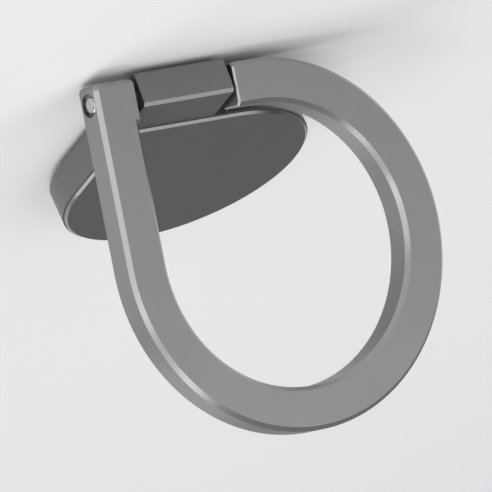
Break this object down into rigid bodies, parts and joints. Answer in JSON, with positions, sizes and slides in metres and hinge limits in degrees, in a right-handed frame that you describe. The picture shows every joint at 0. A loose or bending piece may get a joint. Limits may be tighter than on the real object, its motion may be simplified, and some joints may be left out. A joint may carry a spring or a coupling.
{
  "type": "phone ring holder",
  "caption": "Drop-shaped finger ring hinged at its square corner on a low drop-shaped base that swivels on a round adhesive disc, a grip and stand for a phone.",
  "frame": {"origin": "centre of the adhesive face, on the swivel axis", "axes": "+Z out of the surface that the holder is stuck to, along the swivel axis; +X along the hinge axis, towards the closed lug; +Y from the swivel axis towards the hinge"},
  "size_m": [0.031, 0.0251, 0.0296],
  "materials": {
    "ring_alloy": "satin plated zinc alloy, blasted fine",
    "base_alloy": "satin plated zinc alloy, blasted fine",
    "plate_alloy": "satin anodised sheet with a cut edge",
    "pin_steel": "ground",
    "steel": "stamped, nickel plated",
    "spring_steel": "hardened strip",
    "nylon": "black nylon",
    "adhesive_foam": "dark acrylic foam tape"
  },
  "bodies": {
    "mount": {"adhesive_pad": "adhesive_foam", "mount_disc": "steel", "swivel_rivet": "steel"},
    "base": {"base_body": "base_alloy", "face_plate": "plate_alloy", "spring_washer": "spring_steel", "friction_washer_left": "nylon", "friction_washer_right": "nylon"},
    "ring": {"finger_ring": "ring_alloy", "hinge_pin": "pin_steel"}
  },
  "joints": [
    {"name": "swivel", "type": "hinge", "parent": "mount", "child": "base", "pos_m": [0, 0, 0], "axis": [0, 0, 1], "continuous": true},
    {"name": "ring_hinge", "type": "hinge", "parent": "base", "child": "ring", "pos_m": [0, 0.01395, 0.00205], "axis": [-1, 0, 0], "range_deg": [-67, 113]}
  ]
}
